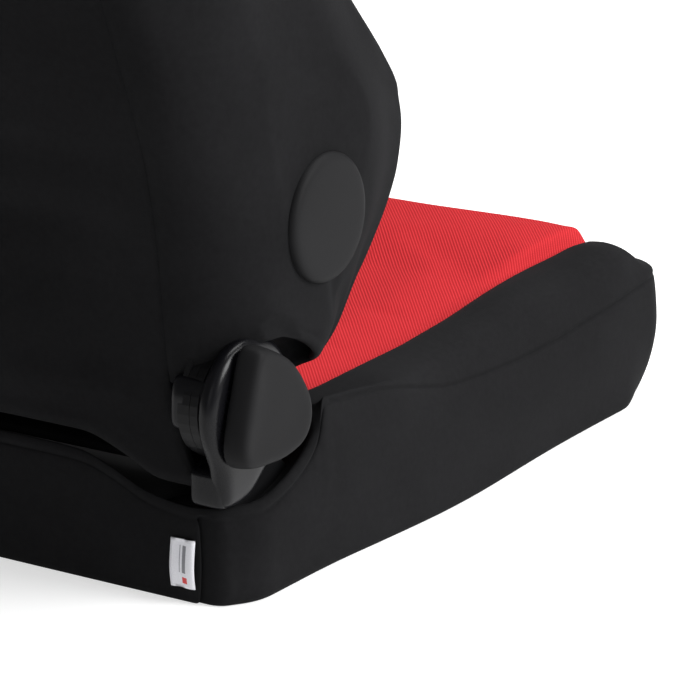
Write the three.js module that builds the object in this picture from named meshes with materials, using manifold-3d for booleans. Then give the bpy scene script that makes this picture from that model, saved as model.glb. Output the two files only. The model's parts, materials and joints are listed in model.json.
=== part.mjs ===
// A reclining racing seat: a steel-framed cushion base, a deep-bolstered backrest on two geared
// recliners that are driven together by a three-lobed hand knob on each side, and a headrest on posts.
// Millimetres, +Z up, the occupant faces -Y, and +X is the occupant's left. Z = 0 is the plane that
// the seat bolts down to. Side views are drawn as (u, z): u is the distance forward of the
// cushion's rear face. Each paired piece is drawn once, for the right (-X) side, and mirrored.
import * as THREE from "three";
import { mergeVertices } from "three/addons/utils/BufferGeometryUtils.js";
import Module from "manifold-3d";

const wasm = await Module();
wasm.setup();

// ---- Driving dimensions ----
const HALF_W = 250; // half of the cushion's width
const REAR_Y = 187.5; // the cushion's rear face
const CUSHION_LEN = 600;
const CUSHION_CENTRE = 187.5; // half-width of the middle pad
const SKIRT_WALL = 11; // the cushion's side skirt, outboard of the rail
const NOSE = 566; // the seating surface ends here, over the front edge
const PIVOT = { u: 28, z: 135 }; // the recline axis, in the side view
const GAP = 0.35; // between pieces that touch
const STEEL = 3; // pressed sheet
const BRACKET = 4; // hinge plates

// Rails and mounting pattern
const RAIL = { outer: 225, width: 35, height: 55, rear: 22, front: 500 };
const LIGHTENING = { at: [150, 260, 370], r: 13 }; // round holes through the rail's web
const PATTERN = { halfWidth: 202.5, rear: 92, front: 427, boltR: 4.25 };
const WELD_NUT = { r: 8.5, height: 6 };
const CROSS_TUBE = { u: 60, z: 28, r: 12.5, bore: 10 };
const SPRING = { wireR: 1.8, turns: 9, swing: 16, start: 52, length: 322, low: 44, rise: 12, spacing: 105 };

// The recliner's stack of plates, as distances from the seat's middle plane
const UPPER_PLATE = [209, 213];
const RING_DISC = [213.3, 219];
const GEAR_DISC = [219.3, 225.7];
const LOWER_PLATE = [226, 230];
const RECLINER_R = 38;
const RECLINER_BORE = 15;
const PLATE_BORE = 9;
const CAM = { r: 12.5, throw: 1.2 };
const SHAFT_R = 6;
const SHAFT_HALF = 259;
const HINGE_SCREW = { z: 28, r: 7.5, height: 6, rear: 44, front: 104 };

// The hinge cover and the knob outboard of it
const COVER = { outer: 245, wall: 3, r: 48, depth: 10, skirtDepth: 23, skirtTop: 97, floor: 70 };
const KNOB = { inner: 246, outer: 264, lobeR: 14, lobeAt: 34.5, waist: 34.5, firstLobe: 106, bevel: 2.5 };
const LINK = { inner: 41, outer: 52, from: 112, to: 165 }; // the sleeve over the hinge, round the pivot

// The backrest, measured forward from its rear surface
const BACK = { bottom: 104, top: 690, skin: 9, foam: 48, face: 95, insert: 10 };
const BACK_FRAME = { rear: 12, front: 40, low: 178, high: 640, inner: 182 };
const BACK_INSERT = { halfW: 150, low: 158, high: 640 };
const LUMBAR = { levels: [300, 420], swing: 20, turns: 11, behindFace: 26 };
const BACK_CENTRE = 167.5; // half-width of the middle pad
const BOLSTER_CHANNEL = 215; // the frame's channel ends here
const ARCH_R = 52.5; // the side cover's arch round the hinge

const DISC = { u: 102, z: 249, r: 44.5, thick: 8, studR: 8, studLen: 24 };

const LEAN = 20; // degrees, the headrest posts
const POST = { x: 70, r: 7, below: 150, above: 130 };
const HEAD = { u: -137, z: 690, padLow: 30, padHigh: 192, halfW: 132, front: 58, rear: 40 };
const COLLAR = { r: 17, low: 7, high: 16 };
const SLEEVE = { r: 11, below: 65 };
const LOCK_BUTTON = { from: 12.5, to: 21.5, halfW: 4.2, low: 9.35, high: 13.25, room: 0.4 };

const SEGMENTS = 36;

// ---- Finishes ----
const finish = (color, roughness, metalness) =>
  new THREE.MeshStandardMaterial({ color, roughness, metalness });
const BLACK_STEEL = finish(0x17181a, 0.5, 0.6);
const ZINC = finish(0x9a9c9f, 0.35, 0.9);
const SPRING_WIRE = finish(0x55575a, 0.4, 0.9);
const GRAINED_PLASTIC = finish(0x2b2b2d, 0.6, 0);
const GLOSS_PLASTIC = finish(0x151517, 0.25, 0);
const BLACK_FABRIC = finish(0x1d1d1f, 0.95, 0);
const RED_MESH = finish(0xc4282f, 0.85, 0);
const LABEL = finish(0xdedee2, 0.6, 0);

// ---- Side-view helpers ----
const side = (u, z) => new THREE.Vector2(REAR_Y - u, z);
const outline = (points) => new THREE.Shape(points.map(([u, z]) => side(u, z)));
const arc = (cu, cz, r, from, to, steps) =>
  Array.from({ length: steps + 1 }, (_, i) => {
    const a = THREE.MathUtils.degToRad(from + ((to - from) * i) / steps);
    return [cu + r * Math.cos(a), cz + r * Math.sin(a)];
  });
const smooth = (points, steps) =>
  new THREE.SplineCurve(points.map(([u, z]) => new THREE.Vector2(u, z)))
    .getPoints(steps)
    .map((p) => [p.x, p.y]);

// The backrest's rear surface: upright over the hinge, then leaning back.
const REAR_LINE = smooth(
  [[0, 70], [0, 147], [-5, 199], [-11, 248], [-21, 297], [-36, 343], [-51, 381], [-66, 420], [-97, 500],
    [-131, 590], [-165, 690], [-180, 740]],
  60,
);
function rearAt(z) {
  const i = REAR_LINE.findIndex((p) => p[1] >= z);
  const [a, b] = [REAR_LINE[i - 1], REAR_LINE[i]];
  return a[0] + ((b[0] - a[0]) * (z - a[1])) / (b[1] - a[1]);
}
const levels = (low, high, steps) =>
  Array.from({ length: steps + 1 }, (_, i) => low + ((high - low) * i) / steps);
const behind = (offset, low, high, steps) => levels(low, high, steps).map((z) => [rearAt(z) + offset, z]);

// The side bolster's front edge: a deep wing at the hips, a waist, then the shoulder.
const BOLSTER_FRONT = smooth(
  [[129, 142], [169, 183], [214, 234], [231, 285], [209, 337], [165, 392], [118, 445], [80, 500],
    [54, 560], [30, 615], [-8, 660], [-62, 690]],
  34,
);

// A front-view outline from the points of its +X half.
const mirrorEnds = (half) => [...half, ...half.map(([x, z]) => [-x, z]).reverse()];
const symmetric = (half) => new THREE.Shape(mirrorEnds(half).map(([x, z]) => new THREE.Vector2(x, z)));

// ---- Solids ----
const turnSide = new THREE.Matrix4().set(0, 0, 1, 0, 1, 0, 0, 0, 0, 1, 0, 0, 0, 0, 0, 1);
// A side-view outline carried across the seat from x1 to x2.
function across(shape, x1, x2, bevel = 0) {
  const g = new THREE.ExtrudeGeometry(shape, {
    depth: x2 - x1 - 2 * bevel,
    bevelEnabled: bevel > 0,
    bevelThickness: bevel,
    bevelSize: bevel,
    bevelOffset: -bevel,
    bevelSegments: 3,
    curveSegments: SEGMENTS / 2,
  });
  return g.translate(0, 0, x1 + bevel).applyMatrix4(turnSide);
}
// A front-view outline (x, z) carried back from y1 to y2.
function along(shape, y1, y2) {
  const settings = { depth: y2 - y1, bevelEnabled: false, curveSegments: SEGMENTS / 2 };
  return new THREE.ExtrudeGeometry(shape, settings)
    .rotateX(Math.PI / 2)
    .translate(0, y2, 0);
}
// A plan outline (x, y) carried up from z1 to z2.
const upward = (shape, z1, z2) =>
  new THREE.ExtrudeGeometry(shape, { depth: z2 - z1, bevelEnabled: false }).translate(0, 0, z1);
// A symmetric plan outline, its depths measured forward of the backrest's rear, carried up the lean.
function leaning(shape, low, high) {
  const g = new THREE.ExtrudeGeometry(shape, { depth: high - low, steps: 20, bevelEnabled: false });
  const p = g.attributes.position;
  for (let i = 0; i < p.count; i++) {
    const z = low + p.getZ(i);
    p.setXYZ(i, -p.getX(i), REAR_Y - rearAt(z) - p.getY(i), z);
  }
  return g;
}
const box = (x1, x2, y1, y2, z1, z2) =>
  new THREE.BoxGeometry(x2 - x1, y2 - y1, z2 - z1).translate((x1 + x2) / 2, (y1 + y2) / 2, (z1 + z2) / 2);
// The same, with its length given in the side view.
const boxU = (x1, x2, u1, u2, z1, z2) => box(x1, x2, REAR_Y - u2, REAR_Y - u1, z1, z2);
// A rod along X at a point of the side view.
const rodX = (u, z, r, x1, x2, segments = SEGMENTS) =>
  new THREE.CylinderGeometry(r, r, x2 - x1, segments)
    .rotateZ(Math.PI / 2)
    .translate((x1 + x2) / 2, REAR_Y - u, z);
const rodZ = (x, y, r, z1, z2, segments = SEGMENTS) =>
  new THREE.CylinderGeometry(r, r, z2 - z1, segments).rotateX(Math.PI / 2).translate(x, y, (z1 + z2) / 2);

function solid(geometry) {
  const g = geometry.clone();
  g.deleteAttribute("normal");
  g.deleteAttribute("uv");
  const merged = mergeVertices(g, 1e-3);
  return new wasm.Manifold(
    new wasm.Mesh({
      numProp: 3,
      vertProperties: new Float32Array(merged.attributes.position.array),
      triVerts: new Uint32Array(merged.index.array),
    }),
  );
}
function geometryOf(manifold) {
  const m = manifold.getMesh();
  const positions = new Float32Array(m.numVert * 3);
  for (let i = 0; i < m.numVert; i++) {
    const from = i * m.numProp;
    positions.set(m.vertProperties.subarray(from, from + 3), i * 3);
  }
  return new THREE.BufferGeometry()
    .setAttribute("position", new THREE.BufferAttribute(positions, 3))
    .setIndex(new THREE.BufferAttribute(m.triVerts, 1));
}
const cut = (base, ...tools) => geometryOf(tools.reduce((made, t) => made.subtract(solid(t)), solid(base)));
const join = (base, ...more) => geometryOf(more.reduce((made, t) => made.add(solid(t)), solid(base)));
const common = (a, b) => geometryOf(solid(a).intersect(solid(b)));

// A wire bent along a path, with a closed end at each side.
class Path extends THREE.Curve {
  constructor(at) {
    super();
    this.at = at;
  }
  getPoint(t, target = new THREE.Vector3()) {
    return target.copy(this.at(t));
  }
}
function wire(at, r, steps) {
  const section = new THREE.Shape(arc(0, 0, r, 0, 300, 5).map(([x, y]) => new THREE.Vector2(x, y)));
  return new THREE.ExtrudeGeometry(section, { steps, extrudePath: new Path(at), bevelEnabled: false });
}

// ---- Assembly ----
const seat = new THREE.Group();
function add(name, geometry, material, parent = seat) {
  const mesh = new THREE.Mesh(geometry, material);
  mesh.name = name;
  parent.add(mesh);
  return mesh;
}
function pair(name, geometry, material, parent = seat) {
  add(name + "_right", geometry, material, parent);
  add(name + "_left", geometry, material, parent).scale.x = -1;
}

// ---- Base frame ----
function sideRail() {
  const { outer, width, height, rear, front } = RAIL;
  const inner = outer - width;
  const rail = cut(
    boxU(-outer, -inner, rear, front, 0, height),
    boxU(-outer + STEEL, -inner + 1, rear - 1, front + 1, STEEL, height - STEEL),
  );
  const holes = LIGHTENING.at.map((u) =>
    rodX(u, height / 2, LIGHTENING.r, -outer - 1, -outer + STEEL + 1, 24),
  );
  const bolts = [PATTERN.rear, PATTERN.front].map((u) =>
    rodZ(-PATTERN.halfWidth, REAR_Y - u, PATTERN.boltR, -1, STEEL + 1, 20),
  );
  return cut(rail, ...holes, ...bolts);
}
function weldNut(u) {
  const y = REAR_Y - u;
  return cut(
    rodZ(-PATTERN.halfWidth, y, WELD_NUT.r, STEEL + GAP, STEEL + GAP + WELD_NUT.height, 6),
    rodZ(-PATTERN.halfWidth, y, PATTERN.boltR, 0, STEEL + GAP + WELD_NUT.height + 1, 16),
  );
}
pair("side_rail", sideRail(), BLACK_STEEL);
pair("weld_nut_rear", weldNut(PATTERN.rear), ZINC);
pair("weld_nut_front", weldNut(PATTERN.front), ZINC);

function crossTube() {
  const { u, z, r, bore } = CROSS_TUBE;
  const half = RAIL.outer - STEEL - GAP;
  return cut(rodX(u, z, r, -half, half, 24), rodX(u, z, bore, -half - 1, half + 1, 24));
}
add("rear_cross_tube", crossTube(), BLACK_STEEL);
const betweenRails = RAIL.outer - RAIL.width - GAP;
const channel = [[440, 6], [480, 6], [480, 9], [443, 9], [443, 37], [480, 37], [480, 40], [440, 40]];
add("front_cross_member", across(outline(channel), -betweenRails, betweenRails), BLACK_STEEL);
// The thigh pan: a sheet that rises to the front and rolls down at its lip.
const panTop = [[378, 52], [420, 58], [470, 65], [505, 68], [520, 62], [526, 44]];
const panUnder = [[523, 44], [517, 60], [505, 65], [470, 62], [420, 55], [378, 49]];
add("thigh_pan", across(outline([...panTop, ...panUnder]), -180, 180), BLACK_STEEL);

// Zigzag springs under the pad, from the rear tube to the pan.
function cushionSpring(x) {
  const { wireR, turns, swing, start, length, low, rise } = SPRING;
  const at = (t) =>
    new THREE.Vector3(x + swing * Math.sin(t * turns * Math.PI), REAR_Y - start - length * t, low + rise * t);
  return wire(at, wireR, 6 * turns);
}
pair("cushion_spring", cushionSpring(-SPRING.spacing), SPRING_WIRE);
add("cushion_spring_middle", cushionSpring(0), SPRING_WIRE);

// ---- Recliners ----
const shaftHole = (r, x1, x2) => rodX(PIVOT.u, PIVOT.z, r, x1, x2, 24);
function lowerPlate() {
  const head = arc(PIVOT.u, PIVOT.z, RECLINER_R - 1, -20, 200, 22);
  const leg = [[18.5, 84], [20, 12], [26, 8], [118, 8], [124, 14], [124, 40], [96, 66], [72, 92]];
  const plate = across(outline([...head, ...leg]), -LOWER_PLATE[1], -LOWER_PLATE[0]);
  return cut(plate, shaftHole(PLATE_BORE, -LOWER_PLATE[1] - 1, -LOWER_PLATE[0] + 1));
}
pair("lower_hinge_plate", lowerPlate(), BLACK_STEEL);
function reclinerDisc([inner, outer]) {
  const disc = rodX(PIVOT.u, PIVOT.z, RECLINER_R, -outer, -inner);
  return cut(disc, shaftHole(RECLINER_BORE, -outer - 1, -inner + 1));
}
pair("recliner_gear_disc", reclinerDisc(GEAR_DISC), BLACK_STEEL);
pair("recliner_ring_disc", reclinerDisc(RING_DISC), BLACK_STEEL);
function eccentricCam() {
  const [x1, x2] = [-GEAR_DISC[1] + GAP, -RING_DISC[0] - GAP];
  return cut(rodX(PIVOT.u - CAM.throw, PIVOT.z, CAM.r, x1, x2, 28), shaftHole(SHAFT_R + GAP, x1 - 1, x2 + 1));
}
pair("eccentric_cam", eccentricCam(), ZINC);
function upperPlate() {
  const head = arc(PIVOT.u, PIVOT.z, RECLINER_R - 1, -200, 30, 22);
  const arm = [[46, 178], [41, 200], [33, 248], [23, 262], [2, 262], [2, 248], [7, 200], [7, 178]];
  const plate = across(outline([...head, ...arm]), -UPPER_PLATE[1], -UPPER_PLATE[0]);
  return cut(plate, shaftHole(PLATE_BORE, -UPPER_PLATE[1] - 1, -UPPER_PLATE[0] + 1));
}
pair("upper_hinge_plate", upperPlate(), BLACK_STEEL);

// Hexagon screws that hold the lower plate to the rail.
function hingeScrew(u) {
  const seatedAt = LOWER_PLATE[1] + GAP;
  return rodX(u, HINGE_SCREW.z, HINGE_SCREW.r, -seatedAt - HINGE_SCREW.height, -seatedAt, 6);
}
pair("hinge_screw_rear", hingeScrew(HINGE_SCREW.rear), ZINC);
pair("hinge_screw_front", hingeScrew(HINGE_SCREW.front), ZINC);

add("recliner_shaft", rodX(PIVOT.u, PIVOT.z, SHAFT_R, -SHAFT_HALF, SHAFT_HALF, 24), ZINC);

// A three-lobed hand knob: three round lobes joined by slightly bulging sides.
function knobOutline() {
  const points = [];
  for (let lobe = 0; lobe < 3; lobe++) {
    const at = KNOB.firstLobe - 120 * lobe;
    const a = THREE.MathUtils.degToRad(at);
    const [cu, cz] = [PIVOT.u + KNOB.lobeAt * Math.cos(a), PIVOT.z + KNOB.lobeAt * Math.sin(a)];
    points.push(...arc(cu, cz, KNOB.lobeR, at + 52, at - 52, 7));
    points.push(...arc(PIVOT.u, PIVOT.z, KNOB.waist, at - 50, at - 70, 2));
  }
  return outline(points.reverse());
}
function knob() {
  const body = across(knobOutline(), -KNOB.outer, -KNOB.inner, KNOB.bevel);
  return cut(body, shaftHole(SHAFT_R + GAP, -SHAFT_HALF - 1, -KNOB.inner + 1));
}
pair("recline_knob", knob(), GRAINED_PLASTIC);

// The shroud round the recliner: a dished disc over the hinge, with a box skirt below it. Its rear is
// open above the skirt, which leaves the hinge plate's way clear as the backrest lies down.
function hingeCover() {
  const { outer, wall, r, depth, skirtDepth, skirtTop, floor } = COVER;
  const shell = join(
    rodX(PIVOT.u, PIVOT.z, r, -outer, -outer + depth, 48),
    boxU(-outer, -outer + skirtDepth, -5, 52, floor, skirtTop),
  );
  return cut(
    shell,
    rodX(PIVOT.u, PIVOT.z, r - wall, -outer + wall, -outer + depth + 1, 48),
    boxU(-outer + wall, -outer + skirtDepth + 1, -5 + wall, 52 - wall, floor + wall, skirtTop + 1),
    boxU(-LOWER_PLATE[1] - 1, -LOWER_PLATE[0] + 1, 12, 53, floor - 1, skirtTop + 1),
    shaftHole(10, -250, -235),
  );
}
pair("hinge_cover", hingeCover(), GLOSS_PLASTIC);

// The plastic sleeve that follows the backrest's plate into the open rear of the shroud.
const linkSector = [
  ...arc(PIVOT.u, PIVOT.z, LINK.outer, LINK.from, LINK.to, 9),
  ...arc(PIVOT.u, PIVOT.z, LINK.inner, LINK.to, LINK.from, 9),
];
pair("hinge_link_cover", across(outline(linkSector), -234, -BOLSTER_CHANNEL - 0.5), GLOSS_PLASTIC);

// ---- Cushion ----
// The seating surface, dished behind the thighs, raised at the front and turned down over its edge.
const SEAT_LINE = smooth(
  [[73, 97], [120, 94], [200, 89], [300, 92], [400, 104],
    [470, 117], [520, 129.5], [544, 131.5], [NOSE, 124.5]],
  24,
);
const lowered = (line, by) => line.map(([u, z]) => [u, z - by]);
function cushionInsert() {
  const half = CUSHION_CENTRE - 3;
  return across(outline([...SEAT_LINE, ...lowered(SEAT_LINE, BACK.insert).reverse()]), -half, half);
}
add("cushion_insert", cushionInsert(), RED_MESH);
// The pad's rear tongue passes below the backrest to the rear panel.
function cushionFoam() {
  const top = lowered(SEAT_LINE, BACK.insert + GAP);
  const under = [[NOSE, 76], [505, 72], [378, 66], [110, 62], [40, 52], [9.5, 52], [9.5, 65], [58, 69]];
  return across(outline([...top, ...under]), -CUSHION_CENTRE, CUSHION_CENTRE);
}
add("cushion_foam", cushionFoam(), BLACK_FABRIC);
function frontRoll() {
  const back = NOSE + GAP;
  const face = smooth(
    [[back, 124], [584, 112], [CUSHION_LEN - 5, 96], [CUSHION_LEN, 62], [595, 34], [582, 12], [560, 4]],
    14,
  );
  return across(outline([...face, [560, 70], [back, 70]]), -CUSHION_CENTRE, CUSHION_CENTRE);
}
add("cushion_front_roll", frontRoll(), BLACK_FABRIC);
// Its top edge dips at both ends, under the lower corners of the backrest.
const rearWall = [[CUSHION_CENTRE, 2], [CUSHION_CENTRE, 68.5], [181, 70], [148, 83], [124, 90], [95, 91]];
add("cushion_rear_panel", along(symmetric(rearWall), REAR_Y - BACK.skin, REAR_Y), BLACK_FABRIC);

// In plan the cushion has round corners, wider at the front.
function cushionPlan() {
  const rearCorner = [[HALF_W - 38, -0.5], [HALF_W - 12, 10], [HALF_W, 38]];
  const frontCorner = [
    [HALF_W, CUSHION_LEN - 42], [HALF_W - 11.5, CUSHION_LEN - 11.5], [HALF_W - 42, CUSHION_LEN + 0.5]];
  const half = [...smooth(rearCorner, 8), ...smooth(frontCorner, 8)];
  const shape = new THREE.Shape(mirrorEnds(half).map(([x, u]) => new THREE.Vector2(-x, REAR_Y - u)));
  return upward(shape, 0, 200);
}
// From the front: the bolsters' outer top edges are rounded.
function cushionFront() {
  const rounded = [
    [HALF_W - 2, 0], [HALF_W, 5], [HALF_W, 92], [246, 104], [238, 114], [228, 121], [214, 127], [180, 134]];
  return along(symmetric(rounded), -500, 200);
}
// The side bolster with its skirt. It is notched round the hinge and hollow over the rail.
function cushionBolster() {
  const nose = smooth(
    [[520, 128], [548, 124], [572, 112], [590, 96], [CUSHION_LEN, 55],
      [594, 26], [580, 9], [560, 3], [540, 1]],
    18,
  );
  const notch = [[104, 106], [104, 92], [96, 78], [80, 69.5], [50, 68.5], [0, 67]];
  const top = smooth(
    [[92, 118], [130, 120], [200, 112], [280, 108], [360, 111], [450, 120], [520, 128]],
    14,
  );
  const sideView = outline([...top.slice(0, -1), ...nose, [0, 2], ...notch.reverse()]);
  const whole = across(sideView, -HALF_W, -CUSHION_CENTRE - GAP);
  const rail = outline([[18, 0], [18, 76], [126, 76], [136, 62], [506, 62], [506, 0]]);
  return cut(
    common(common(whole, cushionPlan()), cushionFront()),
    across(rail, -HALF_W + SKIRT_WALL, -CUSHION_CENTRE + 5),
  );
}
pair("cushion_bolster", cushionBolster(), BLACK_FABRIC);

// The maker's tab, sewn into the rear corner seam. It carries no mark.
add("label_tab", boxU(-219, -200, -1.6, -GAP, 11, 45), LABEL);

// ---- Back frame ----
// A pressed channel, open towards the middle of the seat.
function upright() {
  const { rear, front, low, high, inner } = BACK_FRAME;
  const outer = UPPER_PLATE[0] - GAP;
  const strip = (from, to, z1, z2) =>
    outline([...behind(from, z1, z2, 12), ...behind(to, z1, z2, 12).reverse()]);
  return cut(
    across(strip(rear, front, low, high), -outer, -inner),
    across(strip(rear + STEEL, front - STEEL, low - 1, high + 1), -outer + STEEL, -inner + 1),
  );
}
pair("back_upright", upright(), BLACK_STEEL);
const betweenUprights = BACK_FRAME.inner - GAP;
function topBeam() {
  const plate = outline([...behind(11, 590, 640, 3), ...behind(14, 590, 640, 3).reverse()]);
  return across(plate, -betweenUprights, betweenUprights);
}
add("back_top_beam", topBeam(), BLACK_STEEL);
const beam = [[14, 186], [38, 186], [38, 189], [17, 189], [14, 217], [35, 217], [35, 220], [11, 220]];
add("back_lower_beam", across(outline(beam), -betweenUprights, betweenUprights), BLACK_STEEL);

// Zigzag lumbar springs between the uprights.
function backSpring(z) {
  const half = betweenUprights - 2;
  const at = (t) => {
    const level = z + LUMBAR.swing * Math.sin(t * LUMBAR.turns * Math.PI);
    return new THREE.Vector3(-half + 2 * half * t, REAR_Y - rearAt(level) - LUMBAR.behindFace, level);
  };
  return wire(at, SPRING.wireR, 6 * LUMBAR.turns);
}
add("lumbar_spring_lower", backSpring(LUMBAR.levels[0]), SPRING_WIRE);
add("lumbar_spring_upper", backSpring(LUMBAR.levels[1]), SPRING_WIRE);

// ---- Back cushions ----
// The backrest from the front: square at the hips, a slight waist, and round shoulders.
function backOutline() {
  const half = smooth(
    [[HALF_W, 60], [HALF_W, 300], [244, 420], [245, 520], [248, 590],
      [238, 640], [208, 676], [160, 691], [80, 696]],
    24,
  );
  return along(symmetric(half), -300, 500);
}
// In plan: rounded off to the rear panel, and drawn in a little at the bolsters' front edges.
const backPlan = [
  [195, -1], [215, 4], [232, 15], [243, 32], [HALF_W, 62], [HALF_W, 180], [246, 215], [236, 250], [222, 275]];
const BACK_SHAPE = common(backOutline(), leaning(symmetric(backPlan), 75, 710));
// The bolsters' inner faces open outwards.
const lap = leaning(symmetric([[BACK_CENTRE, 108], [182, 160], [210, 255], [216, 290]]), 120, 715);
const postHole = (x, r, low, high) =>
  new THREE.CylinderGeometry(r, r, high - low, 24)
    .rotateX(Math.PI / 2)
    .translate(x, 0, (low + high) / 2)
    .rotateX(-THREE.MathUtils.degToRad(LEAN))
    .translate(0, REAR_Y - HEAD.u, HEAD.z);

function backFoam() {
  const crown = rearAt(BACK.top);
  const overTop = [[crown + 84, 676], [crown + 66, 687], [crown + 44, BACK.top]];
  const front = [...behind(BACK.face, 152, 650, 14), ...overTop];
  const rear = [[crown + BACK.skin + GAP, BACK.top], [rearAt(660) + BACK.skin + GAP, 660],
    [rearAt(660) + BACK.foam, 660], ...behind(BACK.foam, 178, 650, 14).reverse(), [60, 152]];
  return cut(
    common(across(outline([...front, ...rear]), -BACK_CENTRE, BACK_CENTRE), BACK_SHAPE),
    postHole(POST.x, 14, -60, 40), postHole(-POST.x, 14, -60, 40));
}
add("back_foam", backFoam(), BLACK_FABRIC);
function backInsert() {
  const { halfW, low, high } = BACK_INSERT;
  const from = BACK.face + GAP;
  const strip = [...behind(from, low, high, 16), ...behind(from + BACK.insert, low, high, 16).reverse()];
  return across(outline(strip), -halfW, halfW);
}
add("back_insert", backInsert(), RED_MESH);
// From behind, the panel's lower corners reach down beside the hinges, and it passes between the plates.
function backRearPanel() {
  const atPlate = UPPER_PLATE[0] - 1;
  const atChannel = BOLSTER_CHANNEL - GAP;
  const edge = [[120, BACK.bottom], [150, 95], [166, 88], [181, 80], [214, 80], [221, 82], [221, 90],
    [atPlate, 102], [atPlate, 266], [atChannel, 268], [atChannel, 720]];
  const skin = [...behind(0, 78, BACK.top, 18), ...behind(BACK.skin, 78, BACK.top, 18).reverse()];
  const panel = common(across(outline(skin), -HALF_W, HALF_W), BACK_SHAPE);
  return common(panel, along(symmetric(edge), -300, 500));
}
add("back_rear_panel", backRearPanel(), BLACK_FABRIC);
function backBolster() {
  const arch = arc(PIVOT.u, PIVOT.z, ARCH_R, 122, 45, 10);
  const low = [...arch, [100, 158], [112, 147]];
  const rear = behind(0, 184, BACK.top, 16).reverse();
  const whole = across(outline([...low, ...BOLSTER_FRONT, ...rear]), -HALF_W, -BACK_CENTRE - GAP);
  const frameRoom = outline([
    [-300, 100], ...behind(BACK.foam, 100, 650, 14), ...behind(BACK.skin + GAP, 650, 730, 4), [-300, 730]]);
  return cut(
    common(whole, BACK_SHAPE),
    across(frameRoom, -BOLSTER_CHANNEL, -BACK_CENTRE + 5),
    lap,
    rodX(DISC.u, DISC.z, DISC.studR + 1, -HALF_W - 1, -HALF_W + DISC.studLen + 2, 20));
}
pair("back_bolster", backBolster(), BLACK_FABRIC);

// A round trim cap on each bolster, on a push-in stud.
function sideDisc() {
  const { r, thick, studR, studLen } = DISC;
  const face = [[0, thick], [r - 6, thick], [r - 2.5, thick - 0.8], [r - 0.6, thick - 3], [r, thick - 5]];
  const profile = [...face, [r, 0.5], [studR, 0.5], [studR, -studLen], [0, -studLen]];
  return new THREE.LatheGeometry(profile.map(([x, y]) => new THREE.Vector2(x, y)).reverse(), 44)
    .rotateZ(Math.PI / 2)
    .translate(-HALF_W, REAR_Y - DISC.u, DISC.z);
}
pair("side_disc", sideDisc(), GRAINED_PLASTIC);

// ---- Headrest ----
// Drawn upright round the point where the posts leave the backrest, then leaned back.
const head = new THREE.Group();
head.position.set(0, REAR_Y - HEAD.u, HEAD.z);
head.rotation.x = -THREE.MathUtils.degToRad(LEAN);
seat.add(head);

// A collar on a long sleeve. The left one has a pocket for the lock button.
function guide(withButton) {
  const sleeve = join(
    rodZ(-POST.x, 0, SLEEVE.r, -SLEEVE.below, COLLAR.low + 1, 24),
    rodZ(-POST.x, 0, COLLAR.r, COLLAR.low, COLLAR.high, 28),
  );
  const tools = [rodZ(-POST.x, 0, POST.r + GAP, -SLEEVE.below - 1, COLLAR.high + 1, 24)];
  if (withButton) {
    const { to, halfW, low, high, room } = LOCK_BUTTON;
    const [inner, outer] = [-POST.x - POST.r - 2, -POST.x - to];
    tools.push(box(outer, inner, -halfW - room, halfW + room, low - room, high + room));
  }
  return cut(sleeve, ...tools);
}
function lockButton() {
  const { from, to, halfW, low, high } = LOCK_BUTTON;
  return box(POST.x + from, POST.x + to, -halfW, halfW, low, high);
}
add("headrest_guide_right", guide(false), GRAINED_PLASTIC, head);
add("headrest_guide_left", guide(true), GRAINED_PLASTIC, head).scale.x = -1;
add("headrest_lock_button", lockButton(), GLOSS_PLASTIC, head);

// Two tubes for the guides on a cross plate, which is welded to the top beam.
function headrestCarrier() {
  const tube = (x) => rodZ(x, 0, 13, -110, -45, 24);
  const bore = (x) => rodZ(x, 0, SLEEVE.r + 0.4, -120, -40, 24);
  const plate = box(-POST.x, POST.x, -12.5, -9.5, -100, -60);
  return cut(join(plate, tube(-POST.x), tube(POST.x)), bore(-POST.x), bore(POST.x));
}
add("headrest_carrier", headrestCarrier(), BLACK_STEEL, head);
pair("headrest_post", rodZ(-POST.x, 0, POST.r, -POST.below, POST.above, 24), ZINC, head);

function headrestPad() {
  const { padLow, padHigh, halfW, front, rear } = HEAD;
  const face = [
    [-front + 14, padLow], [-front, padLow + 40], [-front - 2, padLow + 90], [-front + 16, padHigh - 12]];
  const nape = [[rear - 14, padHigh - 12], [rear, padHigh - 60], [rear, padLow + 30], [rear - 16, padLow]];
  const profile = smooth([...face, [-10, padHigh], ...nape], 26);
  const shape = new THREE.Shape(profile.map(([y, z]) => new THREE.Vector2(y, z)));
  const block = across(shape, -halfW, halfW, 12);
  const slot = (x) => rodZ(x, 0, POST.r + 1, padLow - 10, POST.above + 3, 16);
  return cut(block, slot(-POST.x), slot(POST.x));
}
add("headrest_pad", headrestPad(), BLACK_FABRIC, head);

export default seat;
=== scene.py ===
"""The looks of a reclining racing seat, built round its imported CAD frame.

The seat faces -Y, +X is the occupant's left, and Z = 0 is its mounting plane. Shapes are worked out in
millimetres, where u is the distance forward of the cushion's rear face. Meshes are made in metres.
"""
import json
import math

import bmesh
import bpy
import numpy as np
from mathutils import Matrix, Vector


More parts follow.
